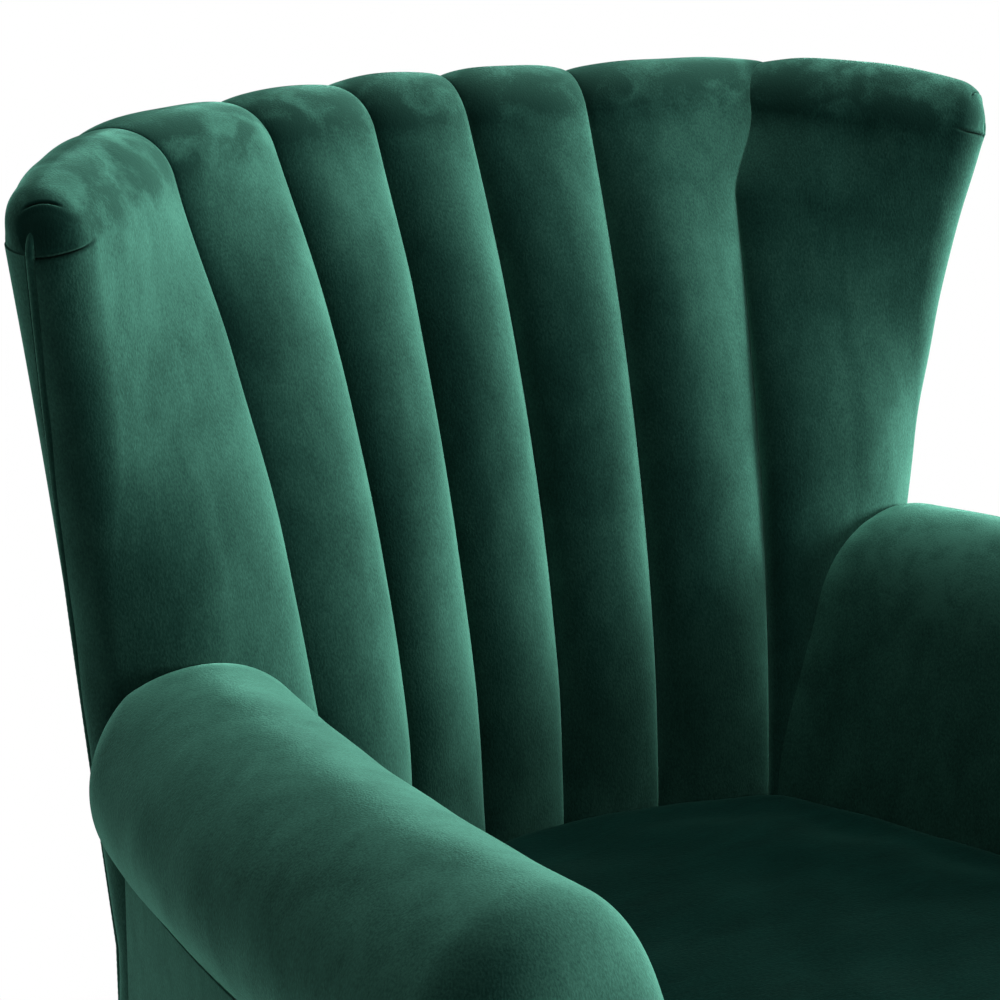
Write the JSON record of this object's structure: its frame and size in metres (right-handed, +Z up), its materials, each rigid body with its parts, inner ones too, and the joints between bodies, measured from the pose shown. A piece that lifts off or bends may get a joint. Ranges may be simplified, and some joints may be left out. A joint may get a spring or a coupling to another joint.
{
  "type": "wingback chair",
  "caption": "Upholstered wingback armchair with a fanned channel back, padded wings, rolled arms, a crowned sprung seat and raked turned wooden legs.",
  "frame": {"origin": "floor level under the middle of the chair's bounding box", "axes": "+X to the sitter's left, -Y to the chair's front, +Z up"},
  "size_m": [0.7852, 0.6971, 0.8994],
  "materials": {
    "velvet": "deep green short-pile velvet over foam",
    "frame_timber": "plain sawn hardwood",
    "leg_wood": "dark stain, satin",
    "bolt_steel": "zinc-plated",
    "spring_wire": "oil-tempered wire",
    "glide_nylon": "matt",
    "webbing": "woven elastic",
    "felt": "needled felt",
    "dust_cloth": "non-woven"
  },
  "bodies": {
    "root": {"arm_board_left": "frame_timber", "arm_board_right": "frame_timber", "arm_front_panel_left": "velvet", "arm_front_panel_right": "velvet", "arm_front_post_left": "frame_timber", "arm_front_post_right": "frame_timber", "arm_pad_left": "velvet", "arm_pad_right": "velvet", "arm_rear_post_left": "frame_timber", "arm_rear_post_right": "frame_timber", "back_channel_1": "velvet", "back_channel_2": "velvet", "back_channel_3": "velvet", "back_channel_4": "velvet", "back_channel_5": "velvet", "back_lower_rail": "frame_timber", "back_middle_rail": "frame_timber", "back_post_left": "frame_timber", "back_post_right": "frame_timber", "back_strap_1": "webbing", "back_strap_2": "webbing", "back_top_rail": "frame_timber", "corner_block_front_left": "frame_timber", "corner_block_front_right": "frame_timber", "corner_block_rear_left": "frame_timber", "corner_block_rear_right": "frame_timber", "dust_cover": "dust_cloth", "leg_bolt_front_left": "bolt_steel", "leg_bolt_front_right": "bolt_steel", "leg_bolt_rear_left": "bolt_steel", "leg_bolt_rear_right": "bolt_steel", "leg_front_left": "leg_wood", "leg_front_right": "leg_wood", "leg_glide_front_left": "glide_nylon", "leg_glide_front_right": "glide_nylon", "leg_glide_rear_left": "glide_nylon", "leg_glide_rear_right": "glide_nylon", "leg_rear_left": "leg_wood", "leg_rear_right": "leg_wood", "outside_arm_panel_left": "velvet", "outside_arm_panel_right": "velvet", "outside_back_panel": "velvet", "outside_wing_panel_left": "velvet", "outside_wing_panel_right": "velvet", "seat_cushion": "velvet", "seat_deck_pad": "felt", "seat_front_border": "velvet", "seat_front_rail": "frame_timber", "seat_rear_rail": "frame_timber", "seat_side_rail_left": "frame_timber", "seat_side_rail_right": "frame_timber", "seat_spring_1": "spring_wire", "seat_spring_2": "spring_wire", "seat_spring_3": "spring_wire", "wing_board_left": "frame_timber", "wing_board_right": "frame_timber", "wing_pad_left": "velvet", "wing_pad_right": "velvet", "wing_welt_left": "velvet", "wing_welt_right": "velvet"}
  },
  "joints": []
}
